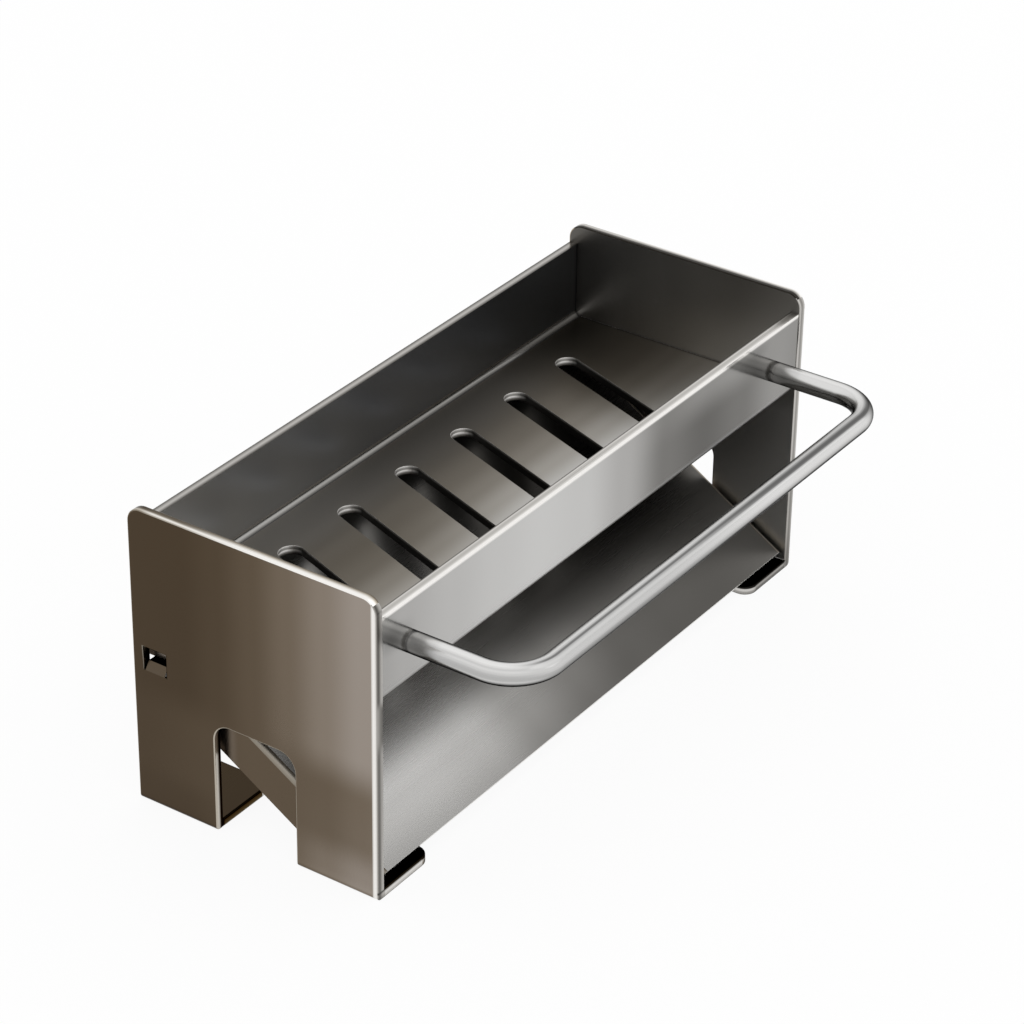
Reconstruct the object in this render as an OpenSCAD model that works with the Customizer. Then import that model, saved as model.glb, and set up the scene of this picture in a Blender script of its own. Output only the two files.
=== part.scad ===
// Sponge holder of bent sheet metal, with a drain tray, a sloping deflector and a towel bar.
// X runs along the length, the towel bar is at the front (-Y), and Z = 0 is the table.

/* [Overall size] */
// Length over the outer faces of the end plates
length = 232; // [190:1:300]
// Depth of an end plate, from its front edge to its back edge
depth = 90; // [80:1:130]
// Height of an end plate above the table
height = 103; // [96:1:140]
// Thickness of the end plates' and the tray's sheet
sheet = 3; // [1:0.1:4]

/* [End plates] */
// Radius of the two top corners
top_corner_r = 5; // [1:0.5:12]
// Width of the arch between the legs
arch_w = 30; // [16:1:40]
// Height of the arch above the table
arch_h = 39; // [20:0.2:40]
// Radius of the arch's top corners
arch_corner_r = 6; // [1:0.5:8]
// Reach of a foot from the end plate's outer face
foot_reach = 26.2; // [14:0.2:40]
// Radius of a foot's free corners
foot_corner_r = 4.5; // [1:0.5:8]
// Outer radius of the bend between an end plate and its feet
foot_bend_r = 1.4; // [0.6:0.1:4]
// Inner radius of the bend between an end plate and its feet
foot_inner_r = 0.4; // [0.2:0.1:2]

/* [Hook windows] */
// Width of the window, front to back
window_w = 8.6; // [8:0.1:14]
// Height of the window
window_h = 8; // [5:0.1:12]
// Strip left between the window and the end plate's back edge
window_margin = 3.8; // [2:0.1:8]
// Drop of the window's lower edge below the deflector's upper face, at the window's front
window_drop = 6.1; // [5:0.1:9]
// Width of the hook that is bent in from the window's lower edge
hook_w = 7.2; // [4:0.1:7.8]
// Height of the hook above the window's lower edge
hook_rise = 2.6; // [2:0.1:4]
// Reach of the hook's tip under the deflector's flange
hook_bite = 0.7; // [0.5:0.1:1.4]

/* [Tray] */
// Set-back of the tray's walls from the end plates' front and back edges
tray_inset = 0.4; // [0:0.1:5]
// Drop of the tray's rim below the end plates' top
rim_drop = 6.6; // [2:0.2:15]
// Height of the tray, from its rim to its underside
tray_h = 29.8; // [24:0.2:35]
// Inner radius of the tray's bends
tray_bend_r = 2.1; // [0.5:0.1:4]

/* [Drain slots] */
// Spacing of the slots along the tray
slot_pitch = 29.7; // [22:0.1:40]
// Width of a slot
slot_w = 8.5; // [4:0.5:12]
// Length of a slot, end to end
slot_l = 60; // [25:1:64]
// Turn of the slots away from square across the tray
slot_turn = 20; // [0:1:30]
// Shift of the row of slots from the tray's middle
slot_shift = -0.5; // [-10:0.1:10]
// Least length of plain floor at each end of the row
slot_margin = 20; // [10:1:40]

/* [Deflector] */
// Thickness of the deflector's sheet
drip_sheet = 1.5; // [0.8:0.1:2.5]
// Inner radius of the deflector's bends
drip_bend_r = 0.3; // [0.2:0.1:2]
// Height of the front lip's upper edge above the table
lip_z = 7.2; // [6:0.1:16]
// Set-back of the lip from the end plates' front edge
lip_inset = 1; // [0:0.1:5]
// Set-back of the deflector's back edge from the end plates' back edge
back_inset = 3.2; // [2:0.1:6]
// Gap between the deflector's back edge and the tray's underside
under_gap = 7; // [2:0.1:15]
// Depth of the side flanges, square to the slope
flange_h = 14.4; // [12:0.1:20]
// Set-back of the flanges' front ends from the lip
flange_inset = 3; // [1:0.1:8]

/* [Towel bar] */
// Diameter of the rod
bar_d = 7; // [4:0.5:10]
// Set-in of the bar's sides from the end plates' outer faces
bar_inset = 13.5; // [6:0.5:50]
// Room for a cloth between the bar and the tray's front wall
bar_gap = 35.4; // [24:0.1:60]
// Radius of the bends, along the middle of the rod
bar_bend_r = 14.5; // [8:0.5:18]
// Drop of the rod's middle below the tray's rim
bar_drop = 15; // [8:0.1:17]

/* [Clearances] */
// Running gap between the deflector and each end plate
side_gap = 1.1; // [0.3:0.1:2]
// Gap that the deflector keeps over the feet, and over and behind the hooks
seat_gap = 0.3; // [0.2:0.05:0.5]

/* [Hidden] */
$fn = 96;
over = 1;

// Front to back, measured from the end plates' middle
edge_y = depth / 2;
wall_y = edge_y - tray_inset;
bar_y = wall_y + bar_gap + bar_d / 2;
middle_y = (bar_y + bar_d / 2 - edge_y) / 2;

// Heights
rim_z = height - rim_drop;
tray_z = rim_z - tray_h;
bar_z = rim_z - bar_drop;

// Deflector: a slope from the front lip to just under the tray
lip_y = -edge_y + lip_inset;
drip_back_y = edge_y - back_inset;
drip_run = drip_back_y - lip_y;
drip_slope = atan((tray_z - under_gap - lip_z) / drip_run);
drip_w = length - 2 * sheet - 2 * side_gap;

// Windows and hooks
window_back_y = edge_y - window_margin;
window_front_y = window_back_y - window_w;
window_z = lip_z + (window_front_y - lip_y) * tan(drip_slope) - window_drop;
hook_front_y = window_front_y + (window_w - hook_w) / 2;
hook_z = window_z + hook_rise;
hook_lean = side_gap + hook_bite;

// Row of slots: as many as the tray's length holds at this spacing
slot_reach = (slot_l - slot_w) / 2;
slot_half_x = slot_reach * sin(slot_turn) + slot_w / 2;
slot_row = length - 2 * sheet - 2 * slot_margin - 2 * slot_half_x;
slot_count = floor(slot_row / slot_pitch) + 1;

// Rectangle with its top edge on the X axis and its two top corners rounded
module round_top(w, h, r) {
    translate([-w / 2 + r, -h]) square([w - 2 * r, h]);
    translate([-w / 2, -h]) square([w, h - r]);
    for (side = [-1, 1]) translate([side * (w / 2 - r), -r]) circle(r);
}

// Channel of bent sheet seen from its end, with its web on top and its walls hanging down
module channel(w, walls, t, r) {
    difference() {
        round_top(w, walls, r + t);
        translate([0, -t]) round_top(w - 2 * t, walls, r);
    }
}

// Rectangle from the origin, with its corner at the origin rounded
module round_corner(w, h, r) {
    translate([r, 0]) square([w - r, h]);
    translate([0, r]) square([w, h - r]);
    translate([r, r]) circle(r);
}

// What a rounded corner of radius r takes off, for a corner that points to +X and +Y
module corner_waste(r) {
    translate([-r, -r]) difference() {
        square(r + over);
        circle(r);
    }
}

// Extrudes a profile drawn in Y and Z along X
module along_x(l) {
    rotate([90, 0, 90]) linear_extrude(l) children();
}

// Extrudes a profile drawn in X and Z along Y
module along_y(l) {
    translate([0, l, 0]) rotate([90, 0, 0]) linear_extrude(l) children();
}

// Upright and foot of an end plate, before it is cut
module bent_plate() {
    translate([0, -edge_y, 0]) along_y(depth) difference() {
        round_corner(foot_reach, height, foot_bend_r);
        translate([sheet, sheet]) round_corner(foot_reach, height, foot_inner_r);
    }
}

module arch_cut() {
    translate([-over, 0, 0]) along_x(foot_reach + 2 * over)
        translate([0, arch_h]) round_top(arch_w, arch_h + over, arch_corner_r);
}

module top_corner_cuts() {
    translate([-over, 0, 0]) along_x(sheet + 2 * over) {
        translate([edge_y, height]) corner_waste(top_corner_r);
        translate([-edge_y, height]) mirror([1, 0]) corner_waste(top_corner_r);
    }
}

// Rounds the two free corners of each foot
module foot_corner_cuts() {
    for (side = [0, 1]) mirror([0, side, 0]) translate([foot_reach, 0, -over]) linear_extrude(sheet + 2 * over) {
        translate([0, edge_y]) corner_waste(foot_corner_r);
        translate([0, arch_w / 2]) mirror([0, 1]) corner_waste(foot_corner_r);
    }
}

module window_cut() {
    translate([-over, window_front_y, window_z]) cube([sheet + 2 * over, window_w, window_h]);
}

// Tab bent in from the window's lower edge
module hook() {
    translate([0, hook_front_y, window_z]) along_y(hook_w) polygon([
        [0, -over],
        [sheet, -over],
        [sheet, 0],
        [sheet + hook_lean, hook_rise],
        [hook_lean, hook_rise],
        [0, 0]
    ]);
}

// End plate with its outer face at X = 0 and its feet pointing to +X
module end_plate() {
    difference() {
        bent_plate();
        arch_cut();
        top_corner_cuts();
        foot_corner_cuts();
        window_cut();
    }
    hook();
}

module left_end_plate() {
    color([0.42, 0.38, 0.33]) translate([-length / 2, middle_y, 0]) end_plate();
}

module right_end_plate() {
    color([0.3, 0.28, 0.26]) translate([length / 2, middle_y, 0]) mirror([1, 0, 0]) end_plate();
}

// One drain slot through the tray's floor, with round ends
module slot_cut() {
    rotate([0, 0, -slot_turn]) {
        translate([-slot_w / 2, -slot_reach, 0]) cube([slot_w, 2 * slot_reach, sheet + 2 * over]);
        for (end = [-1, 1]) translate([0, end * slot_reach, 0]) cylinder(sheet + 2 * over, d = slot_w);
    }
}

module tray() {
    tray_l = length - 2 * sheet;
    color([0.55, 0.53, 0.5]) translate([0, middle_y, tray_z]) difference() {
        translate([-tray_l / 2, 0, 0]) along_x(tray_l) mirror([0, 1]) channel(2 * wall_y, tray_h, sheet, tray_bend_r);
        for (i = [0 : slot_count - 1])
            translate([slot_shift + (i - (slot_count - 1) / 2) * slot_pitch, 0, -over]) slot_cut();
    }
}

// Sloping plate with folded flanges, from the lip at the origin along +Y. The flanges start behind
// the lip, and end upright below the plate's back edge.
module drip_channel() {
    drip_l = drip_run / cos(drip_slope);
    bend_h = drip_sheet + drip_bend_r;
    cut_h = flange_h + over - bend_h;
    rotate([drip_slope, 0, 0]) difference() {
        along_y(drip_l) channel(drip_w, flange_h, drip_sheet, drip_bend_r);
        translate([-drip_w / 2 - over, 0, -bend_h]) along_x(drip_w + 2 * over) {
            translate([-over, -cut_h]) square([flange_inset + over, cut_h]);
            polygon([
                [drip_l, 0],
                [drip_l - cut_h * tan(drip_slope), -cut_h],
                [drip_l + over, -cut_h],
                [drip_l + over, 0]
            ]);
        }
    }
}

// Cuts the flanges level over the feet, and open at the back over the hooks
module flange_cuts() {
    foot_gap_z = sheet + seat_gap;
    hook_gap_z = hook_z + seat_gap;
    translate([-drip_w / 2 - over, -depth, foot_gap_z - height]) cube([drip_w + 2 * over, 2 * depth, height]);
    translate([-drip_w / 2 - over, hook_front_y - seat_gap, hook_gap_z - height])
        cube([drip_w + 2 * over, depth, height]);
}

module deflector() {
    color([0.68, 0.67, 0.65]) translate([0, middle_y, 0]) difference() {
        translate([0, lip_y, lip_z]) drip_channel();
        flange_cuts();
    }
}

// Half of the towel bar: a leg from the tray's wall, a bend and half of the front run
module bar_half() {
    leg_x = length / 2 - bar_inset - bar_d / 2;
    bend_x = leg_x - bar_bend_r;
    bend_y = -bar_y + bar_bend_r;
    translate([leg_x, -wall_y, 0]) rotate([90, 0, 0]) cylinder(bar_y - wall_y - bar_bend_r, d = bar_d);
    translate([bend_x, bend_y, 0]) rotate([0, 0, -90]) rotate_extrude(angle = 90)
        translate([bar_bend_r, 0]) circle(d = bar_d);
    translate([0, -bar_y, 0]) rotate([0, 90, 0]) cylinder(bend_x, d = bar_d);
}

module towel_bar() {
    color([0.82, 0.82, 0.8]) translate([0, middle_y, bar_z]) {
        bar_half();
        mirror([1, 0, 0]) bar_half();
    }
}

left_end_plate();
right_end_plate();
tray();
deflector();
towel_bar();
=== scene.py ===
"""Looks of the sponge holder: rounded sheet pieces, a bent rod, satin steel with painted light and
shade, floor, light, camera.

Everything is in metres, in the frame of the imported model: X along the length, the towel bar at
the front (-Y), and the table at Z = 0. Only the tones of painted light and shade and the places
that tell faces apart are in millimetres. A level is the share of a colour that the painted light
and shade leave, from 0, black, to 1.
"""

import math

import bmesh
import bpy
import numpy as np
from bpy.props import FloatProperty, FloatVectorProperty, IntProperty, PointerProperty
from mathutils import Matrix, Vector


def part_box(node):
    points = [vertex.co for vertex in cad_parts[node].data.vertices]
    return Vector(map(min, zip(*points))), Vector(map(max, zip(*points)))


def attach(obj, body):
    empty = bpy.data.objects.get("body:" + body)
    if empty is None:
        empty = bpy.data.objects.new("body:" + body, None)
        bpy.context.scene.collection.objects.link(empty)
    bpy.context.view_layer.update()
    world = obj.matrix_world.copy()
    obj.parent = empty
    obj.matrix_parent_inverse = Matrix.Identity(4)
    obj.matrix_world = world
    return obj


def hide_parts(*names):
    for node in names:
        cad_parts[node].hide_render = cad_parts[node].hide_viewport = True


bl_info = {
    "name": "Sponge Holder Looks",
    "version": (1, 0, 0),
    "blender": (4, 5, 0),
    "location": "3D View > Sidebar > Holder",
    "description": "Builds the visual pieces of a bent steel sponge holder around its frame",
    "category": "Object",
}

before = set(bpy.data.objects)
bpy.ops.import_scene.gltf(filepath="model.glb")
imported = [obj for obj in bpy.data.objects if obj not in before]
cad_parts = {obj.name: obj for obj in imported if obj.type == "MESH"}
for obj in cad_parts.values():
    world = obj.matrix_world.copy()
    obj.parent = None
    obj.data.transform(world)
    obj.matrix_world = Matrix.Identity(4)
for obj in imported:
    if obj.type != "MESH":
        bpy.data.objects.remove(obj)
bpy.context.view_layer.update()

MM = 0.001
DEGREE = 1 / 360  # of a full turn
ACROSS, FORWARD, UP = (1, 0, 0), (0, -1, 0), (0, 0, 1)

# Cleaning and rounding of the sheet pieces.
SAME_POINT = 1e-6
FLAT_ANGLE = math.radians(0.5)
EDGE_ANGLE = math.radians(50)

# Places of the sockets in a Mix node of colours.
MIX_FACTOR, MIX_LOW, MIX_HIGH, MIX_RESULT = 0, 6, 7, 2

# Satin steel: clouds and grain per metre along X, Y and Z, and what they change.
CLOUDS, CLOUD_LIGHT, CLOUD_GLOSS = (14, 26, 26), 0.07, 0.05
GRAIN, GRAIN_LIGHT, GRAIN_GLOSS = (60, 5000, 5000), 0.01, 0.03
LEAST_LIGHT = 0.96
GRAIN_BUMP, GRAIN_DEPTH = 0.008, 0.02 * MM
MORE_RED, LESS_BLUE = 0.13, 0.22

# Places in millimetres that tell the faces of a sheet piece apart. Under TRAY_LOW lie the tray's
# floor and bends, and over TRAY_HIGH its rims.
BODY_MIDDLE = 21
WINDOW_MIDDLE = (57.9, 51.9)
FOOT_HEIGHT = 3.2
ARCH_HALF, ARCH_HEIGHT = 16.5, 41
PLATE_SIDE = 116
TRAY_LOW, TRAY_HIGH = 73, 94

# Points along each part of the towel bar's path.
LEG_POINTS, BEND_POINTS, RUN_POINTS = 12, 33, 24

# Painted highlights, reflections and shade round the towel bar, from (degrees, level) pairs: 0 is
# outwards and 90 is up.
ROD_LEFT_LEG_PAINTED_LIGHT = [
    (0, 0.6), (10, 0.58), (20, 0.62), (30, 0.75), (42, 0.86), (52, 0.75), (62, 0.9), (70, 1),
    (90, 1), (100, 0.6), (110, 0.26), (122, 0.08), (300, 0.02), (325, 0.03), (335, 0.2),
    (342, 0.5), (350, 0.75), (360, 0.6),
]
ROD_LEFT_RUN_PAINTED_LIGHT = [
    (0, 0.55), (8, 0.6), (15, 0.73), (25, 0.77), (35, 0.73), (45, 0.58), (55, 0.6), (65, 0.55),
    (73, 0.22), (78, 0.3), (85, 0.7), (95, 0.95), (115, 1), (125, 0.57), (135, 0.27), (150, 0.12),
    (290, 0.06), (325, 0.12), (335, 0.2), (345, 0.48), (355, 0.55), (360, 0.55),
]
ROD_RIGHT_RUN_PAINTED_LIGHT = [
    (0, 0.85), (15, 0.93), (25, 0.96), (35, 0.92), (45, 0.8), (52, 0.6), (60, 0.22), (68, 0.17),
    (77, 0.22), (85, 0.48), (95, 0.85), (115, 1), (125, 0.5), (135, 0.16), (150, 0.1),
    (290, 0.04), (325, 0.05), (335, 0.1), (345, 0.35), (355, 0.78), (360, 0.85),
]
ROD_RIGHT_LEG_PAINTED_LIGHT = [
    (0, 0.1), (60, 0.2), (72, 0.4), (80, 0.7), (90, 1), (105, 1), (118, 0.88), (130, 0.92),
    (145, 0.95), (160, 0.7), (185, 0.7), (210, 0.5), (235, 0.25), (290, 0.05), (360, 0.1),
]
# After the left leg, each part takes over from the one before it between two places in
# millimetres along X.
ROD_PARTS = ((ROD_LEFT_RUN_PAINTED_LIGHT, -99, -88), (ROD_RIGHT_RUN_PAINTED_LIGHT, -40, 40), (ROD_RIGHT_LEG_PAINTED_LIGHT, 86, 98))
# Painted shade along the bar, darker at both roots: 0 is its right end and -1 its left end.
ROD_ROOT_SHADE = [
    (-1, 0.9), (-0.99, 0.75), (-0.98, 0.7), (-0.968, 0.85), (-0.955, 1),
    (-0.045, 1), (-0.032, 0.85), (-0.02, 0.7), (-0.01, 0.75), (0, 0.9),
]
ROD_GLOSS, ROD_GLANCE = 0.22, 0.2

# Stage: metres, watts, degrees and, for the lens and the sensor, millimetres.
FLOOR_REACH, FLOOR_ROUGHNESS, FLOOR_WHITE = 6, 0.9, 0.92
LAMP_PLACE, LAMP_SIZE, LAMP_POWER = (0.9, -1.1, 1.6), 1.8, 4
CAMERA_PLACE = (-0.777453, -0.520688, 0.624473)
CAMERA_TURN, CAMERA_TILT, CAMERA_ROLL = -55.6667, 59.2533, 0.89824
CAMERA_LENS, CAMERA_SENSOR, CAMERA_NEAR = 124.3167, 36, 0.01


class HolderSizes(bpy.types.PropertyGroup):
    """Sizes of the details that the frame doesn't have."""

    sheet_rounding: FloatProperty(
        name="Sheet Rounding",
        description="Radius of the rounded edges of the end plates and the tray",
        default=1.2 * MM,
        min=0.2 * MM,
        max=1.3 * MM,
        precision=5,
        unit="LENGTH",
    )
    deflector_rounding: FloatProperty(
        name="Deflector Rounding",
        description="Radius of the rounded edges of the deflector",
        default=0.35 * MM,
        min=0.1 * MM,
        max=0.6 * MM,
        precision=5,
        unit="LENGTH",
    )
    rounding_steps: IntProperty(
        name="Rounding Steps",
        description="Number of faces across each rounded edge",
        default=4,
        min=1,
        max=8,
    )
    rod_bend: FloatProperty(
        name="Rod Bend",
        description="Radius of the towel bar's bends, along the middle of the rod",
        default=14.5 * MM,
        min=8 * MM,
        max=18 * MM,
        unit="LENGTH",
    )
    rod_sides: IntProperty(
        name="Rod Sides",
        description="Number of faces round the towel bar",
        default=64,
        min=16,
        max=128,
    )


class HolderColours(bpy.types.PropertyGroup):
    """Colour of each finish where its painted light and shade leave it lightest."""

    plate: FloatVectorProperty(
        name="End Plates",
        description="Colour of the end plates' flat faces",
        default=(0.317, 0.275, 0.238),
        min=0,
        max=1,
        subtype="COLOR",
    )
    tray: FloatVectorProperty(
        name="Tray",
        description="Colour of the tray's flat faces",
        default=(0.575, 0.57, 0.56),
        min=0,
        max=1,
        subtype="COLOR",
    )
    deflector: FloatVectorProperty(
        name="Deflector",
        description="Colour of the deflector's flat faces",
        default=(0.575, 0.57, 0.56),
        min=0,
        max=1,
        subtype="COLOR",
    )
    rod: FloatVectorProperty(
        name="Towel Bar",
        description="Colour of the towel bar",
        default=(0.78, 0.775, 0.765),
        min=0,
        max=1,
        subtype="COLOR",
    )
    # Near white, so that the ramps on the rounded edges paint their highlights, and their dark
    # lines of shade as well.
    edge: FloatVectorProperty(
        name="Edges",
        description="Colour of the polished edges of the sheet",
        default=(0.9, 0.88, 0.85),
        min=0,
        max=1,
        subtype="COLOR",
    )
    floor: FloatVectorProperty(
        name="Floor",
        description="Colour of the floor",
        default=(0.9, 0.9, 0.9),
        min=0,
        max=1,
        subtype="COLOR",
    )


class Signal:
    """A shader socket in arithmetic. Each operator adds one Math node and gives its output."""

    def __init__(self, shader, socket):
        self.shader = shader
        self.socket = socket

    def math(self, operation, *values):
        """Adds a Math node for an operation on values."""
        return self.shader.add("ShaderNodeMath", {"operation": operation}, values)

    def __add__(self, other):
        return self.math("ADD", self, other)

    def __sub__(self, other):
        return self.math("SUBTRACT", self, other)

    def __rsub__(self, other):
        return self.math("SUBTRACT", other, self)

    def __mul__(self, other):
        return self.math("MULTIPLY", self, other)

    __radd__ = __add__
    __rmul__ = __mul__


class Shader:
    """The node tree of one material."""

    def __init__(self, name):
        self.material = bpy.data.materials.new(name)
        self.material.use_nodes = True
        self.tree = self.material.node_tree
        self.tree.nodes.clear()

    def add(self, kind, settings=None, inputs=(), output=0):
        """Adds a node: its settings first, then its sockets' values or links, by place or name."""
        node = self.tree.nodes.new(kind)
        for key, value in (settings or {}).items():
            if key == "stops":
                set_stops(node.color_ramp, value)
            else:
                setattr(node, key, value)
        pairs = inputs.items() if isinstance(inputs, dict) else enumerate(inputs)
        for key, value in pairs:
            if isinstance(value, Signal):
                self.tree.links.new(value.socket, node.inputs[key])
            else:
                node.inputs[key].default_value = value
        return Signal(self, node.outputs[output]) if len(node.outputs) else None

    def mix(self, factor, low, high, blend="MIX"):
        """Colour mix of low and high."""
        settings = {"data_type": "RGBA", "blend_type": blend}
        sockets = {MIX_FACTOR: factor, MIX_LOW: low, MIX_HIGH: high}
        return self.add("ShaderNodeMix", settings, sockets, MIX_RESULT)

    def times(self, base, other):
        """Product of two colours."""
        return self.mix(1, base, other, "MULTIPLY")

    def noise(self, place):
        """Soft noise around 0.5 at a place that is already stretched to the pattern's size."""
        return self.add("ShaderNodeTexNoise", {}, {"Vector": place, "Scale": 1, "Detail": 2})

    def along(self, place, direction):
        """Distance of a place along a direction."""
        settings = {"operation": "DOT_PRODUCT"}
        return self.add("ShaderNodeVectorMath", settings, (place, direction), 1)

    def stretch(self, place, factors):
        """A place with each coordinate times its factor."""
        return self.add("ShaderNodeVectorMath", {"operation": "MULTIPLY"}, (place, factors))

    def finish(self, surface):
        """Puts a surface on the material's output, and gives the material."""
        self.add("ShaderNodeOutputMaterial", {}, {"Surface": surface})
        return self.material

    def steel(self, base, place, gloss, glance=1.0):
        """Brushed metal of a base colour, with faint clouds and a fine grain.

        gloss is its roughness, and glance the share of its shine that is left where it is seen
        almost edge-on. The grain is noise that is stretched along the brushing. It moves the
        roughness, the bump and the colour.
        """
        clouds = self.noise(self.stretch(place, CLOUDS))
        grain = self.noise(self.stretch(place, GRAIN))
        light = LEAST_LIGHT + clouds * CLOUD_LIGHT + grain * GRAIN_LIGHT
        lit = self.times(base, self.add("ShaderNodeCombineColor", {}, (light, light, light)))
        bump = {"Strength": GRAIN_BUMP, "Distance": GRAIN_DEPTH, "Height": grain}
        sockets = {
            "Base Color": lit,
            "Metallic": 1.0,
            "Specular Tint": (glance, glance, glance, 1),
            "Roughness": gloss + (grain - 0.5) * GRAIN_GLOSS + (clouds - 0.5) * CLOUD_GLOSS,
            "Normal": self.add("ShaderNodeBump", {}, bump),
        }
        return self.finish(self.add("ShaderNodeBsdfPrincipled", {}, sockets))


def set_stops(ramp, stops):
    """Fills a colour ramp with (place from 0 to 1, colour) pairs in rising order."""
    ramp.interpolation = "EASE"
    while len(ramp.elements) < len(stops):
        ramp.elements.new(1)
    for element, (place, colour) in zip(ramp.elements, stops):
        element.position = place
        element.color = (*colour, 1)


def toned(level, warmth):
    """A tone of steel for a level of painted light and shade. Warm steel turns browner where it is
    painted darker.

    Red is the level to the power 1 - MORE_RED * warmth, and blue to 1 + LESS_BLUE * warmth.
    """
    return level ** (1 - MORE_RED * warmth), level, level ** (1 + LESS_BLUE * warmth)


def tone_ramp(shader, distance, tones, warmth=0.0, unit=MM):
    """Colour ramp over a distance, from (distance in the unit, level) pairs.

    It is read at (distance / unit - first) / (last - first), from the first and the last pair.
    """
    first, last = tones[0][0], tones[-1][0]
    share = (distance * (1 / unit) - first) * (1 / (last - first))
    stops = [((at - first) / (last - first), toned(level, warmth)) for at, level in tones]
    return shader.add("ShaderNodeValToRGB", {"stops": stops}, (share,))


def even(level):
    """Layers of one level all over."""
    return [(ACROSS, [(-PLATE_SIDE, level), (PLATE_SIDE, level)])]


def layered(shader, place, colour, layers, warmth):
    """A colour times the tone ramps of (direction, tones) layers, which paint light and shade on
    it.
    """
    base = (*colour, 1)
    for direction, tones in layers:
        ramp = tone_ramp(shader, shader.along(place, direction), tones, warmth)
        base = shader.times(base, ramp)
    return base


def shade_oval(shader, place, middle, reach, level):
    """Soft oval of painted shade: a level at its middle that fades to 1 where its reach ends.

    It is read by the distance from place / reach to middle / reach.
    """
    ratio = tuple(1 / (each * MM) for each in reach)
    target = tuple(at * MM * share for at, share in zip(middle, ratio))
    settings = {"operation": "DISTANCE"}
    away = shader.add("ShaderNodeVectorMath", settings, (shader.stretch(place, ratio), target), 1)
    return tone_ramp(shader, away, [(0, level), (1, 1)], unit=1)


def satin_steel(
    name,
    colour,
    layers,
    other=None,
    fade=None,
    highlight_line=None,
    shade_ovals=(),
    warmth=0.15,
    gloss=0.28,
    glance=1.0,
):
    """Satin steel: a colour with painted light and shade as tones in layers along directions, all
    in millimetres.

    other has the layers of the surface's second pattern of painted light and shade, and fade the
    direction and the (distance, share) pairs by which it takes over. The argument after fade has
    the colour, the direction and the (distance, share) pairs of a painted highlight line along the
    surface's border. The next one has the middle, the reach along the three axes and the level of
    each soft oval of painted shade.
    """
    shader = Shader(name)
    place = shader.add("ShaderNodeTexCoord", {}, (), "Object")
    base = layered(shader, place, colour, layers, warmth)
    if other is not None:
        share = tone_ramp(shader, shader.along(place, fade[0]), fade[1])
        base = shader.mix(share, base, layered(shader, place, colour, other, warmth))
    # A painted highlight line along the border.
    if highlight_line is not None:
        line, direction, shares = highlight_line
        share = tone_ramp(shader, shader.along(place, direction), shares)
        base = shader.mix(share, base, (*line, 1))
    # Soft ovals of painted shade.
    for middle, reach, level in shade_ovals:
        base = shader.times(base, shade_oval(shader, place, middle, reach, level))
    return shader.steel(base, place, gloss, glance)


class Faces:
    """Normals, middles in millimetres and rounded marks of a mesh's faces, as whole arrays."""

    def __init__(self, mesh, rounded):
        values = np.empty(len(mesh.polygons) * 3)
        mesh.polygons.foreach_get("normal", values)
        self.nx, self.ny, self.nz = values.reshape(-1, 3).T.copy()
        mesh.polygons.foreach_get("center", values)
        self.x, self.y, self.z = values.reshape(-1, 3).T / MM
        self.rounded = rounded


def every_edge(middle):
    """Whether an edge is rounded, for a piece whose sharp edges all are."""
    return True


def rounded_sheet(name, node, rounding, finishes, pick, is_free=every_edge):
    """Copy of a frame node with its free edges rounded.

    The node's loose triangles are merged and flat ones joined. Every outward edge that is sharper
    than EDGE_ANGLE, and whose middle in millimetres is free to be rounded, becomes an arc of that
    radius. pick(faces) gives each face's place in finishes.
    """
    work = bmesh.new()
    work.from_mesh(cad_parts[node].data)
    bmesh.ops.remove_doubles(work, verts=work.verts, dist=SAME_POINT)
    bmesh.ops.dissolve_limit(work, angle_limit=FLAT_ANGLE, verts=work.verts, edges=work.edges)
    sharp = [
        edge
        for edge in work.edges
        if edge.is_convex
        and edge.calc_face_angle(0) > EDGE_ANGLE
        and is_free((edge.verts[0].co + edge.verts[1].co) / (2 * MM))
    ]
    arcs = bmesh.ops.bevel(
        work,
        geom=sharp,
        offset=rounding,
        segments=bpy.context.scene.holder_sizes.rounding_steps,
        profile=0.5,
        affect="EDGES",
        clamp_overlap=True,
    )
    for edge in work.edges:
        edge.smooth = edge.calc_face_angle(0) < EDGE_ANGLE
    for face in work.faces:
        face.smooth = True
        face.material_index = 0
    for face in arcs["faces"]:
        face.material_index = 1
    mesh = bpy.data.meshes.new(name)
    work.to_mesh(mesh)
    work.free()
    for finish in finishes:
        mesh.materials.append(finish)
    rounded = np.empty(len(mesh.polygons), dtype=np.int32)
    mesh.polygons.foreach_get("material_index", rounded)
    picked = pick(Faces(mesh, rounded == 1))
    mesh.polygons.foreach_set("material_index", picked.astype(np.int32))
    piece = bpy.data.objects.new(name, mesh)
    bpy.context.scene.collection.objects.link(piece)
    piece.modifiers.new("even_shading", "WEIGHTED_NORMAL").keep_sharp = True
    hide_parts(node)
    return piece


def choose(*choices):
    """Index of the first condition that holds for each face; the last index where none does."""
    return np.select(choices, range(len(choices)), len(choices))


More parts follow.
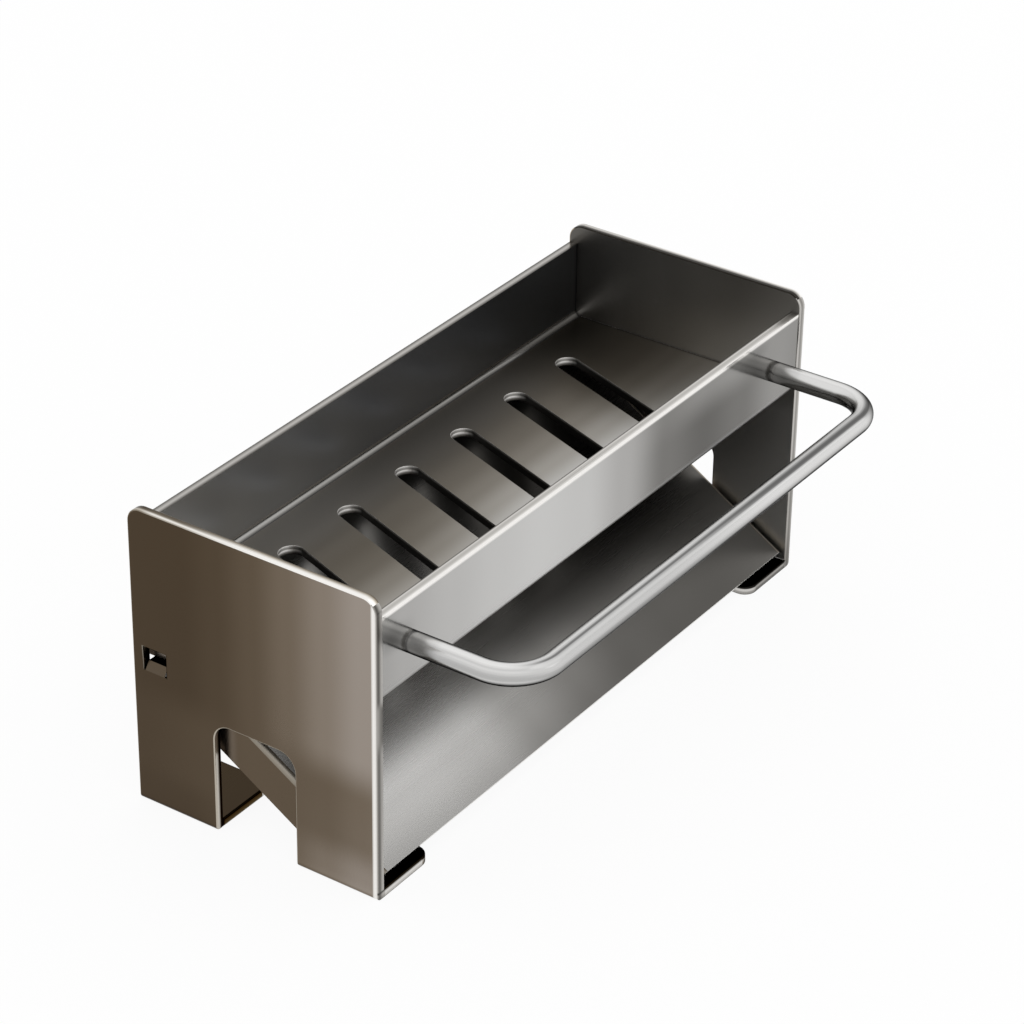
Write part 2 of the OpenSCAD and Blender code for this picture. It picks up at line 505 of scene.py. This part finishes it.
def left_plate_patterns(colours):
    """The left end plate's outer and inner finish with their painted light and shade, and the
    painted highlights and shade of its top and front edge.
    """
    # Painted reflection and shade: the outer face darkens towards the back and at its lowest 2 mm,
    # a second, darker pattern takes over low on the plate between 6 and 48 mm up, and a painted
    # highlight line runs beside the front edge.
    outer_forward = [
        (-66, 0.16), (-47, 0.16), (-34, 0.2), (-21, 0.29), (-8, 0.455), (5, 0.71), (18, 1),
        (24, 1),
    ]
    outer = satin_steel(
        "left_end_plate_outer",
        colours.plate,
        [(FORWARD, outer_forward), (UP, [(0, 0.15), (1.2, 0.6), (2, 0.95), (103, 1)])],
        [(FORWARD, [(-66, 0.18), (-34, 0.225), (-8, 0.34), (5, 0.36), (18, 0.46), (24, 0.5)])],
        (UP, [(0, 0), (6, 0.25), (18, 0.95), (33, 1), (48, 0)]),
        (colours.edge, FORWARD, [(21.8, 0), (22.3, 0.75), (22.7, 1), (23.2, 0.9), (23.6, 0.7)]),
        warmth=1,
    )
    # Painted shade: the inner face darkens towards the back.
    inner = satin_steel(
        "left_end_plate_inner", colours.plate, [(FORWARD, [(-66, 0.4), (24, 0.6)])]
    )
    # Painted highlights and shade across the top edge: bright on the outer side and dark on the
    # inner one, with a second pattern towards the back.
    top_near = [
        (-116, 1), (-115.2, 1), (-114.7, 0.85), (-114.3, 0.62), (-113.9, 0.34), (-113.3, 0.1),
        (-113, 0.05),
    ]
    top_far = [
        (-116, 0.4), (-115.6, 0.9), (-115.2, 0.75), (-114.7, 0.2), (-114.2, 0.08), (-113, 0.06),
    ]
    top = (
        [(ACROSS, top_near)],
        [(ACROSS, top_far), (FORWARD, [(-66, 0.2), (-62, 0.55), (-56, 1), (24, 1)])],
        (FORWARD, [(-66, 1), (-50, 0.95), (-24, 0.1), (-15, 0)]),
    )
    # Painted highlights and lines of shade across the front edge. The darker of its patterns lies
    # between 57 and 66 mm up, and light and dark bands are painted at the foot.
    front_in_shade = [
        (-116, 0.5), (-115.8, 0.4), (-115.4, 0.33), (-114.8, 0.25), (-114.2, 0.18),
        (-113.4, 0.12), (-113, 0.1),
    ]
    front_line = [
        (-116, 0.5), (-115.8, 0.22), (-115.4, 0.1), (-114.9, 0.15), (-114.4, 0.32),
        (-113.9, 0.45), (-113, 0.5), (-112.5, 0.75),
    ]
    front_foot = [
        (0, 0.4), (0.9, 0.7), (1.7, 1), (2.1, 1), (2.4, 0.4), (2.8, 0.05), (3, 0.1), (3.2, 1),
        (103, 1),
    ]
    front = (
        [(ACROSS, front_in_shade)],
        [(ACROSS, front_line), (UP, front_foot)],
        (UP, [(0, 1), (50, 0.8), (57, 0), (66, 0), (70, 1), (103, 1)]),
    )
    return outer, inner, top, front


def right_plate_patterns(colours):
    """The right end plate's outer and inner finish with their painted light and shade, and the
    painted highlights and shade of its top and front edge.
    """
    # Painted shade: the outer face darkens towards the back.
    outer = satin_steel(
        "right_end_plate_outer", colours.plate, [(FORWARD, [(-66, 0.4), (24, 0.6)])]
    )
    # Painted reflection and shade: the inner face darkens towards the back and towards the top,
    # with a lighter second pattern below 58 to 66 mm up.
    inner_forward = [
        (-66, 0.3), (-58, 0.36), (-44, 0.5), (-28, 0.6), (-14, 0.65), (2, 0.56), (24, 0.65),
    ]
    inner = satin_steel(
        "right_end_plate_inner",
        colours.tray,
        [(FORWARD, inner_forward), (UP, [(60, 1), (75, 0.9), (103, 0.65)])],
        [(FORWARD, [(-66, 0.6), (-28, 0.9), (-14, 0.85), (2, 0.8), (24, 0.95)])],
        (UP, [(58, 1), (66, 0)]),
        warmth=0.2,
        gloss=0.35,
    )
    # Painted highlights and shade across the top edge: near black on the inner side and bright on
    # the outer one, with a second pattern towards the back.
    top_near = [(113, 0.03), (114, 0.03), (114.8, 0.4), (115.4, 0.9), (116, 1)]
    top_far = [(113, 0.03), (113.8, 0.04), (114.3, 0.3), (114.8, 0.65), (115.3, 0.55), (116, 0.9)]
    top = (
        [(ACROSS, top_near)],
        [(ACROSS, top_far)],
        (FORWARD, [(-66, 1), (-50, 0.8), (-35, 0.2), (-20, 0)]),
    )
    # Painted highlight and shade lines across the front edge, darker towards the foot, with dim
    # bands where it runs onto the foot.
    front_lines = [
        (112.5, 0.12), (113, 0.55), (113.3, 0.6), (113.9, 0.3), (114.5, 0.28), (115.2, 0.5),
        (116, 0.5),
    ]
    front = (
        [(ACROSS, front_lines), (UP, [(0, 0.4), (20, 0.75), (60, 1), (103, 1)])],
        [(UP, [(0, 0.1), (1.2, 0.12), (1.7, 0.3), (2.1, 0.35), (2.5, 0.08), (3, 0.02)])],
        (ACROSS, [(112.2, 1), (112.8, 0)]),
    )
    return outer, inner, top, front


def plate_finishes_with_painted_light(side, colours):
    """The finishes of one end plate, with their painted light and shade, in the order in which
    pick_plate chooses them.
    """
    name = f"{side}_end_plate"
    if side == "left":
        outer, inner, top, front = left_plate_patterns(colours)
        foot_warmth, top_warmth = 0.5, 0.7
    else:
        outer, inner, top, front = right_plate_patterns(colours)
        foot_warmth, top_warmth = 0.1, 0.2
    # Painted light and shade of the small faces: highlights on the hook's side, the arch's rim and
    # the feet's edges, a darker hook, and near-black shade in the window, on the feet's upper
    # faces, inside the arch and on the back edges.
    window_sides = [(-116, 0.25), (-115.4, 0.3), (-114.8, 0.01), (114.8, 0.01), (116, 0.2)]
    foot_front = [(0, 0.2), (1, 0.35), (1.7, 0.65), (2.1, 0.65), (2.5, 0.02), (3, 0.01)]
    foot_back = [(0, 0.8), (1.6, 0.7), (1.9, 0.3), (2.2, 0.01), (3, 0.01)]
    arch_outline = [
        (-116, 0.45), (-115.7, 0.6), (-115.2, 0.75), (-114.8, 0.3), (-114.4, 0.02), (-113, 0.01),
        (114.4, 0.01), (114.8, 0.3), (115.2, 0.6), (116, 0.3),
    ]
    arch_foot = [(0, 0.12), (0.8, 0.09), (1.9, 0.06), (2.3, 0.01), (3, 0.01)]
    back_lines = [(-116, 0.15), (-114.5, 0.1), (-113, 0.3), (116, 0.3)]
    return [
        satin_steel(f"{name}_hook_side", colours.edge, even(1), warmth=0.5, gloss=0.7),
        satin_steel(
            f"{name}_window",
            colours.edge,
            [(ACROSS, window_sides), (FORWARD, [(-64, 1), (-62, 1), (-61, 0.15), (-52, 0.15)])],
            warmth=0.5,
            glance=0,
        ),
        satin_steel(f"{name}_hook", colours.plate, even(0.28), warmth=0.8),
        satin_steel(
            f"{name}_foot_top",
            colours.plate,
            [(FORWARD, [(-23, 0.2), (-19, 0.01)])],
            warmth=0.5,
            glance=0,
        ),
        satin_steel(
            f"{name}_foot_edge",
            colours.edge,
            [(UP, foot_front)],
            [(UP, foot_back)],
            (FORWARD, [(-23, 1), (-19, 0)]),
            warmth=foot_warmth,
            glance=0,
        ),
        satin_steel(
            f"{name}_arch",
            colours.edge,
            [(ACROSS, arch_outline)],
            [(UP, arch_foot)],
            (ACROSS, [(-113, 0), (-112.6, 1), (112.6, 1), (113, 0)]),
            warmth=0.85,
            glance=0,
        ),
        satin_steel(f"{name}_top_edge", colours.edge, *top, warmth=top_warmth),
        satin_steel(f"{name}_front_edge", colours.edge, *front),
        satin_steel(f"{name}_back_edge", colours.edge, [(ACROSS, back_lines)], warmth=1),
        outer,
        inner,
    ]


def plate_edge_is_free(middle):
    """Whether an end plate's edge is rounded. The hook and the window's inner edges stay sharp."""
    y, z = WINDOW_MIDDLE
    window = abs(middle.y - y) < 5.5 and abs(middle.z - z) < 5
    return not window or abs(middle.x) > PLATE_SIDE - 0.1 and middle.z > 48.5


def pick_plate(faces, side):
    """Places of an end plate's faces in plate_finishes_with_painted_light. side is -1 for the left plate."""
    y, z = WINDOW_MIDDLE
    cut = ~faces.rounded
    outward = faces.nx * side
    sole = cut & (faces.z < 1.5) & (np.abs(faces.ny) < 0.5)
    border = ~(cut & (np.abs(faces.nx) > 0.3) | sole)
    near_window = (np.abs(faces.y - y) < 6) & (np.abs(faces.z - z) < 6)
    hook_side = near_window & cut & (faces.ny < -0.9) & (faces.y < 56)
    hook = near_window & cut & (outward > 0.7) & (faces.nz > 0.4)
    window = near_window & ~hook & (border | (faces.nz < -0.4))
    foot = faces.z < FOOT_HEIGHT
    foot_top = foot & cut & (faces.nz > 0.5)
    foot_side = (np.abs(faces.nz) < 0.5) & (np.abs(faces.x) < 110)
    foot_edge = foot & (foot_side | border & (np.abs(faces.x) < 113.5))
    arch = border & (np.abs(faces.y - BODY_MIDDLE) < ARCH_HALF) & (faces.z < ARCH_HEIGHT)
    top_edge = border & (faces.z > 95) & (faces.nz > np.abs(faces.ny))
    front_edge = border & (faces.y < BODY_MIDDLE)
    return choose(
        hook_side,
        window,
        hook,
        foot_top,
        foot_edge,
        arch,
        top_edge,
        front_edge,
        border,
        outward > 0,
    )


class HOLDER_OT_end_plates(bpy.types.Operator):
    """Both end plates, bent inwards at the foot, with their arch and hook window"""

    bl_idname = "holder.end_plates"
    bl_label = "End Plates"

    def execute(self, context):
        colours = context.scene.holder_colours
        rounding = context.scene.holder_sizes.sheet_rounding
        for side, sign in (("left", -1), ("right", 1)):
            node = f"{side}_end_plate"
            piece = rounded_sheet(
                f"{node}_sheet",
                node,
                rounding,
                plate_finishes_with_painted_light(side, colours),
                lambda faces: pick_plate(faces, sign),
                plate_edge_is_free,
            )
            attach(piece, "holder")
        return {"FINISHED"}


def tray_finishes_with_painted_light(colours):
    """The tray's finishes, with their painted light and shade, in the order in which pick_tray
    chooses them.
    """
    # Painted light and shade: bright arcs at the slots' back ends and black slot walls, a floor
    # and inside walls that darken towards the back and towards the right plate, dark undersides,
    # bright rims with dark lines, and dark grooves with a light line at the ends.
    slot_side = [(66.6, 0.02), (68.6, 0.03), (69.1, 0.2), (69.5, 0.5), (69.6, 0.3)]
    slot_end = [
        (66.6, 0.01), (67.2, 0.15), (68.1, 1), (68.6, 0.35), (69, 0.5), (69.4, 1), (69.6, 1),
    ]
    floor_left = [
        (-62, 0.37), (-48, 0.35), (-39, 0.235), (-30, 0.175), (-21, 0.2), (-12, 0.33), (-3, 0.53),
        (16, 0.7),
    ]
    floor_right = [
        (-62, 0.21), (-48, 0.28), (-39, 0.235), (-30, 0.235), (-21, 0.33), (-12, 0.54),
        (-3, 0.82), (16, 1),
    ]
    floor_right_shade = [(-113, 1), (55, 1), (75, 0.8), (112, 0.6), (112.4, 0.08), (113, 0.04)]
    back_bend = [
        (-113, 0.6), (-57, 0.5), (-19, 0.42), (19, 0.34), (56, 0.35), (94, 0.8), (112, 0.9),
        (112.4, 0.08), (113, 0.04),
    ]
    back_inside = [
        (-113, 0.8), (-100, 0.75), (-75, 0.55), (-50, 0.46), (-25, 0.38), (0, 0.3), (50, 0.27),
        (112, 0.32), (112.4, 0.05), (113, 0.02),
    ]
    front_left = [
        (-113, 0.6), (-102, 0.67), (-79, 0.8), (-56, 0.89), (-34, 0.95), (-11, 0.9), (11, 0.66),
    ]
    front_low = [*front_left, (34, 0.25), (57, 0.16), (79, 0.24), (102, 0.455), (113, 0.4)]
    front_high = [*front_left, (34, 0.32), (57, 0.405), (79, 0.5), (102, 0.45), (113, 0.42)]
    front_rim = [
        (20.6, 0.01), (20.8, 0.15), (21.2, 0.68), (21.8, 0.52), (22.3, 0.5), (22.8, 0.62),
        (23.2, 0.85), (23.6, 1),
    ]
    ends = [
        (-113, 0.03), (-112.6, 0.4), (-112.2, 0.6), (-111.8, 0.45), (111.8, 0.3), (112.4, 0.1),
        (113, 0.02),
    ]
    return [
        satin_steel(
            "tray_slot_edge",
            colours.edge,
            [(UP, slot_side)],
            [(UP, slot_end)],
            (FORWARD, [(-60, 1), (-46.5, 1), (-44, 0)]),
            gloss=0.5,
        ),
        satin_steel(
            "tray_floor",
            colours.tray,
            [(FORWARD, floor_left)],
            [(FORWARD, floor_right), (ACROSS, floor_right_shade)],
            (ACROSS, [(-50, 0), (10, 1)]),
            warmth=0.6,
            gloss=0.33,
        ),
        satin_steel("tray_underside", colours.tray, [(ACROSS, [(-113, 0.25), (113, 0.15)])]),
        satin_steel(
            "tray_back_bend",
            colours.tray,
            [(ACROSS, back_bend), (UP, [(69.6, 0.45), (70.4, 1), (71.7, 1)])],
            gloss=0.2,
        ),
        satin_steel("tray_front_bend", colours.tray, [(ACROSS, front_low)]),
        satin_steel(
            "tray_front_rim",
            colours.edge,
            [(FORWARD, front_rim), (ACROSS, [(-113, 1), (108, 1), (113, 0.25)])],
        ),
        satin_steel(
            "tray_back_rim", colours.edge, [(FORWARD, [(-65.6, 0.1), (-64, 0.5), (-62.6, 0.1)])]
        ),
        satin_steel(
            "tray_front",
            colours.tray,
            [(ACROSS, front_high)],
            [(ACROSS, front_low)],
            (UP, [(82, 1), (95, 0)]),
            # Painted highlight line along the top rim.
            (colours.edge, UP, [(94.9, 0), (95.3, 0.5), (95.7, 1), (96.4, 1)]),
            # Painted reflections of the towel bar: dark ovals on the front wall beside its roots.
            [((-107, -23.6, 86.5), (12, 20, 6), 0.7), ((86, -23.6, 93), (12, 20, 5), 0.7)],
            gloss=0.14,
        ),
        satin_steel("tray_end", colours.edge, [(ACROSS, ends)]),
        satin_steel("tray_front_inside", colours.tray, even(0.5)),
        satin_steel(
            "tray_back_inside", colours.tray, [(ACROSS, back_inside)], warmth=-0.4, gloss=0.35
        ),
        satin_steel("tray_back", colours.tray, even(0.6)),
    ]


def pick_tray(faces):
    """Places of the tray's faces in tray_finishes_with_painted_light."""
    y = faces.y - BODY_MIDDLE
    front = y < 0
    back = y > 0
    cut = ~faces.rounded
    level = np.abs(faces.nz) > 0.98
    low = faces.z < TRAY_LOW
    inner = np.abs(y) < 41.7
    slot_edge = (np.abs(y) < 32) & low & (faces.rounded | ~level)
    floor = low & level & (faces.nz > 0)
    underside = low & level
    back_bend = low & inner & back & (faces.nz > 0)
    front_bend = low & ~inner & front & cut & (faces.ny < 0) & (faces.nz < 0)
    rim = (faces.z > TRAY_HIGH) & (faces.rounded | (faces.nz > 0.5))
    front_wall = cut & ((y < -44) | low & front & (faces.ny < 0))
    end = faces.rounded & (np.abs(faces.x) > 111.7) | (np.abs(faces.nx) > 0.9)
    return choose(
        slot_edge,
        floor,
        underside,
        back_bend,
        front_bend,
        rim & front,
        rim,
        front_wall,
        end,
        front & (faces.ny > 0),
        back & (faces.ny < 0),
    )


class HOLDER_OT_tray(bpy.types.Operator):
    """The tray, one sheet bent into a trough with a row of drain slots"""

    bl_idname = "holder.tray"
    bl_label = "Tray"

    def execute(self, context):
        finishes = tray_finishes_with_painted_light(context.scene.holder_colours)
        rounding = context.scene.holder_sizes.sheet_rounding
        piece = rounded_sheet("tray_sheet", "tray", rounding, finishes, pick_tray)
        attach(piece, "holder")
        return {"FINISHED"}


def deflector_finishes_with_painted_light(colours):
    """The deflector's finishes, with their painted light and shade, in the order in which
    pick_deflector chooses them.
    """
    # Painted light and shade: a bright band along the left bend, a top that darkens to the right
    # and is lightest in a band across its middle, a flange darker towards the front, dimmer
    # undersides and near-black cut edges.
    bend = [
        (-112, 0.22), (-111.7, 0.8), (-111.4, 0.9), (-111.2, 0.45), (-110.8, 0.08), (110, 0.3),
        (112, 0.3),
    ]
    top_across = [
        (-113, 0.82), (-75, 0.87), (-50, 0.8), (-25, 0.53), (0, 0.36), (25, 0.26), (50, 0.2),
        (75, 0.19), (113, 0.26),
    ]
    top_forward = [
        (-20, 0.55), (-13, 0.57), (-8, 0.8), (-3, 1), (3, 1), (6, 0.97), (11, 0.85), (23, 0.73),
    ]
    flange = [(-66, 0.9), (-36, 0.75), (-30, 0.29), (24, 0.29)]
    return [
        satin_steel("deflector_bend", colours.edge, [(ACROSS, bend)], warmth=0.6, gloss=0.45),
        satin_steel(
            "deflector_top", colours.deflector, [(ACROSS, top_across), (FORWARD, top_forward)]
        ),
        satin_steel("deflector_side", colours.plate, [(FORWARD, flange)], warmth=1),
        satin_steel("deflector_lip", colours.edge, even(0.8)),
        satin_steel("deflector_underside", colours.deflector, even(0.5)),
        satin_steel("deflector_edge", colours.edge, even(0.03)),
    ]


def pick_deflector(faces):
    """Places of the deflector's faces in deflector_finishes_with_painted_light."""
    outward = faces.nx * np.sign(faces.x)
    flange = np.abs(faces.x) > 110
    cut = ~faces.rounded
    bend = cut & flange & (outward > 0.05) & (outward < 0.98) & (faces.nz > 0.1)
    top = cut & (faces.nz > 0.7)
    side = cut & flange & (outward > 0.9)
    lip = (faces.y < -18) & (faces.z < 8)
    underside = cut & ((faces.nz < -0.7) | (outward < -0.5))
    return choose(bend, top, side, lip, underside)


class HOLDER_OT_deflector(bpy.types.Operator):
    """The loose sloping plate under the tray, with its side flanges folded down"""

    bl_idname = "holder.deflector"
    bl_label = "Deflector"

    def execute(self, context):
        finishes = deflector_finishes_with_painted_light(context.scene.holder_colours)
        rounding = context.scene.holder_sizes.deflector_rounding
        piece = rounded_sheet("deflector_sheet", "deflector", rounding, finishes, pick_deflector)
        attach(piece, "drip_tray")
        return {"FINISHED"}


def swept_rod(name, path, radius, sides):
    """Closed round rod along a level path.

    A point of the surface is path + radius * (cos(a) * outward + sin(a) * up), with a going round
    the section and outward square to the path in the level plane. Each end is one flat face. The
    UV map has a / full turn across and the share of the path's length along.
    """
    steps = len(path)
    heading = np.gradient(path, axis=0)
    heading /= np.linalg.norm(heading, axis=1, keepdims=True)
    outward = np.stack([-heading[:, 1], heading[:, 0], np.zeros(steps)], 1)
    turn = np.linspace(0, 2 * np.pi, sides, endpoint=False)
    ring = np.cos(turn)[None, :, None] * outward[:, None] + np.sin(turn)[None, :, None] * UP
    points = (path[:, None] + radius * ring).reshape(-1, 3)
    i, j = np.meshgrid(np.arange(steps - 1), np.arange(sides), indexing="ij")
    after = (j + 1) % sides
    corners = np.stack(
        [i * sides + j, i * sides + after, (i + 1) * sides + after, (i + 1) * sides + j], -1
    )
    faces = corners.reshape(-1, 4).tolist()
    faces.append(list(range(sides))[::-1])
    faces.append(list(range((steps - 1) * sides, steps * sides)))
    mesh = bpy.data.meshes.new(name)
    mesh.from_pydata(points, [], faces)
    length = np.concatenate([[0], np.cumsum(np.linalg.norm(np.diff(path, axis=0), axis=1))])
    share = length / length[-1]
    across = np.stack([j, j + 1, j + 1, j], -1) / sides
    ahead = np.stack([share[i], share[i], share[i + 1], share[i + 1]], -1)
    uv = np.concatenate([np.stack([across, ahead], -1).reshape(-1, 2), np.zeros((2 * sides, 2))])
    mesh.uv_layers.new(name="round").data.foreach_set("uv", uv.ravel())
    mesh.shade_smooth()
    piece = bpy.data.objects.new(name, mesh)
    bpy.context.scene.collection.objects.link(piece)
    return piece


def round_steel(name, colour):
    """Steel of a rod: painted highlights, reflections and shade round the section, from the rod's
    UV map, for each part of its run, times painted shade at both roots.
    """
    shader = Shader(name)
    turn = shader.add("ShaderNodeUVMap", {"uv_map": "round"}, ())
    place = shader.add("ShaderNodeTexCoord", {}, (), "Object")
    angle = shader.along(turn, ACROSS)
    sideways = shader.along(place, ACROSS)
    # Painted highlights, reflections and shade round the section.
    tones = tone_ramp(shader, angle, ROD_LEFT_LEG_PAINTED_LIGHT, unit=DEGREE)
    for part, start, end in ROD_PARTS:
        share = tone_ramp(shader, sideways, [(start, 0), (end, 1)])
        tones = shader.mix(share, tones, tone_ramp(shader, angle, part, unit=DEGREE))
    base = shader.times((*colour, 1), tones)
    # Painted shade near both roots of the bar.
    length = tone_ramp(shader, shader.along(turn, FORWARD), ROD_ROOT_SHADE, unit=1)
    return shader.steel(shader.times(base, length), place, ROD_GLOSS, ROD_GLANCE)


def bar_path(wall, front, side, height, bend):
    """Middle line of the bar: out from the wall, round a quarter turn, along, and back again.

    The turn's points are (side - bend * (1 - cos(a)), front + bend * (1 - sin(a))), with a going
    from 0 to a quarter turn. The left half mirrors the right one.
    """
    turn = np.linspace(0, np.pi / 2, BEND_POINTS)
    leg = np.linspace(wall, front + bend, LEG_POINTS, endpoint=False)
    corner = np.stack([side - bend * (1 - np.cos(turn)), front + bend * (1 - np.sin(turn))], 1)
    run = np.linspace(side - bend, 0, RUN_POINTS)[1:]
    half = np.concatenate(
        [
            np.stack([np.full(len(leg), side), leg], 1),
            corner,
            np.stack([run, np.full(len(run), front)], 1),
        ]
    )
    level = np.concatenate([half, half[-2::-1] * (-1, 1)])
    return np.column_stack([level, np.full(len(level), height)])


class HOLDER_OT_towel_bar(bpy.types.Operator):
    """The towel bar, one round rod with two bends"""

    bl_idname = "holder.towel_bar"
    bl_label = "Towel Bar"

    def execute(self, context):
        colours = context.scene.holder_colours
        sizes = context.scene.holder_sizes
        low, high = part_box("towel_bar")
        radius = (high.z - low.z) / 2
        path = bar_path(
            high.y, low.y + radius, high.x - radius, (low.z + high.z) / 2, sizes.rod_bend
        )
        piece = swept_rod("towel_bar_rod", path, radius, sizes.rod_sides)
        piece.data.materials.append(round_steel("rod", colours.rod))
        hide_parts("towel_bar")
        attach(piece, "holder")
        return {"FINISHED"}


def add_floor(colour):
    """Level floor. It is white to the camera, mirrors and glass, and keeps a little shadow."""
    mesh = bpy.data.meshes.new("floor")
    reach = FLOOR_REACH
    corners = [(-reach, -reach, 0), (reach, -reach, 0), (reach, reach, 0), (-reach, reach, 0)]
    mesh.from_pydata(corners, [], [(0, 1, 2, 3)])
    floor = bpy.data.objects.new("floor", mesh)
    bpy.context.scene.collection.objects.link(floor)
    shader = Shader("floor")
    matt = {"Base Color": (*colour, 1), "Roughness": FLOOR_ROUGHNESS}
    lit = shader.add("ShaderNodeBsdfPrincipled", {}, matt)
    glow = shader.add("ShaderNodeEmission", {}, {"Color": (1, 1, 1, 1), "Strength": 1.0})
    seen = shader.add("ShaderNodeLightPath", {}, (), "Is Camera Ray")
    mirrored = shader.add("ShaderNodeLightPath", {}, (), "Is Glossy Ray")
    passed = shader.add("ShaderNodeLightPath", {}, (), "Is Transmission Ray")
    share = (seen + mirrored + passed) * FLOOR_WHITE
    mesh.materials.append(shader.finish(shader.add("ShaderNodeMixShader", {}, (share, lit, glow))))


def add_lamp():
    """Soft square lamp that points at the origin."""
    data = bpy.data.lights.new("softbox", "AREA")
    data.shape = "SQUARE"
    data.size = LAMP_SIZE
    data.energy = LAMP_POWER
    lamp = bpy.data.objects.new("softbox", data)
    bpy.context.scene.collection.objects.link(lamp)
    lamp.location = LAMP_PLACE
    lamp.rotation_euler = (-lamp.location).to_track_quat("-Z", "Y").to_euler()


def add_camera():
    """Camera at the photograph's angle."""
    data = bpy.data.cameras.new("camera")
    data.sensor_width = CAMERA_SENSOR
    data.lens = CAMERA_LENS
    data.clip_start = CAMERA_NEAR
    camera = bpy.data.objects.new("camera", data)
    bpy.context.scene.collection.objects.link(camera)
    camera.matrix_world = (
        Matrix.Translation(CAMERA_PLACE)
        @ Matrix.Rotation(math.radians(CAMERA_TURN), 4, "Z")
        @ Matrix.Rotation(math.radians(CAMERA_TILT), 4, "X")
        @ Matrix.Rotation(math.radians(CAMERA_ROLL), 4, "Z")
    )
    bpy.context.scene.camera = camera


class HOLDER_OT_stage(bpy.types.Operator):
    """Floor, soft light and camera"""

    bl_idname = "holder.stage"
    bl_label = "Stage"

    def execute(self, context):
        scene = context.scene
        scene.view_settings.view_transform = "Standard"
        world = bpy.data.worlds.new("studio")
        scene.world = world
        world.use_nodes = True
        background = world.node_tree.nodes["Background"]
        background.inputs["Color"].default_value = (1, 1, 1, 1)
        background.inputs["Strength"].default_value = 1
        add_floor(scene.holder_colours.floor)
        add_lamp()
        add_camera()
        return {"FINISHED"}


class HOLDER_PT_parts(bpy.types.Panel):
    """Lists the operators, and the sizes and colours that they read"""

    bl_idname = "HOLDER_PT_parts"
    bl_label = "Sponge Holder"
    bl_space_type = "VIEW_3D"
    bl_region_type = "UI"
    bl_category = "Holder"

    def draw(self, context):
        for group in (context.scene.holder_sizes, context.scene.holder_colours):
            box = self.layout.box()
            for name in group.__annotations__:
                box.prop(group, name)
        for operator in OPERATORS:
            self.layout.operator(operator.bl_idname)


OPERATORS = (
    HOLDER_OT_stage,
    HOLDER_OT_end_plates,
    HOLDER_OT_tray,
    HOLDER_OT_deflector,
    HOLDER_OT_towel_bar,
)
CLASSES = (HolderSizes, HolderColours, *OPERATORS, HOLDER_PT_parts)


def register():
    for item in CLASSES:
        bpy.utils.register_class(item)
    bpy.types.Scene.holder_sizes = PointerProperty(type=HolderSizes)
    bpy.types.Scene.holder_colours = PointerProperty(type=HolderColours)


def unregister():
    del bpy.types.Scene.holder_colours
    del bpy.types.Scene.holder_sizes
    for item in reversed(CLASSES):
        bpy.utils.unregister_class(item)


def main():
    """Registers the classes, and builds the stage and every piece."""
    register()
    bpy.ops.holder.stage()
    bpy.ops.holder.end_plates()
    bpy.ops.holder.tray()
    bpy.ops.holder.deflector()
    bpy.ops.holder.towel_bar()


if __name__ == "__main__":
    main()
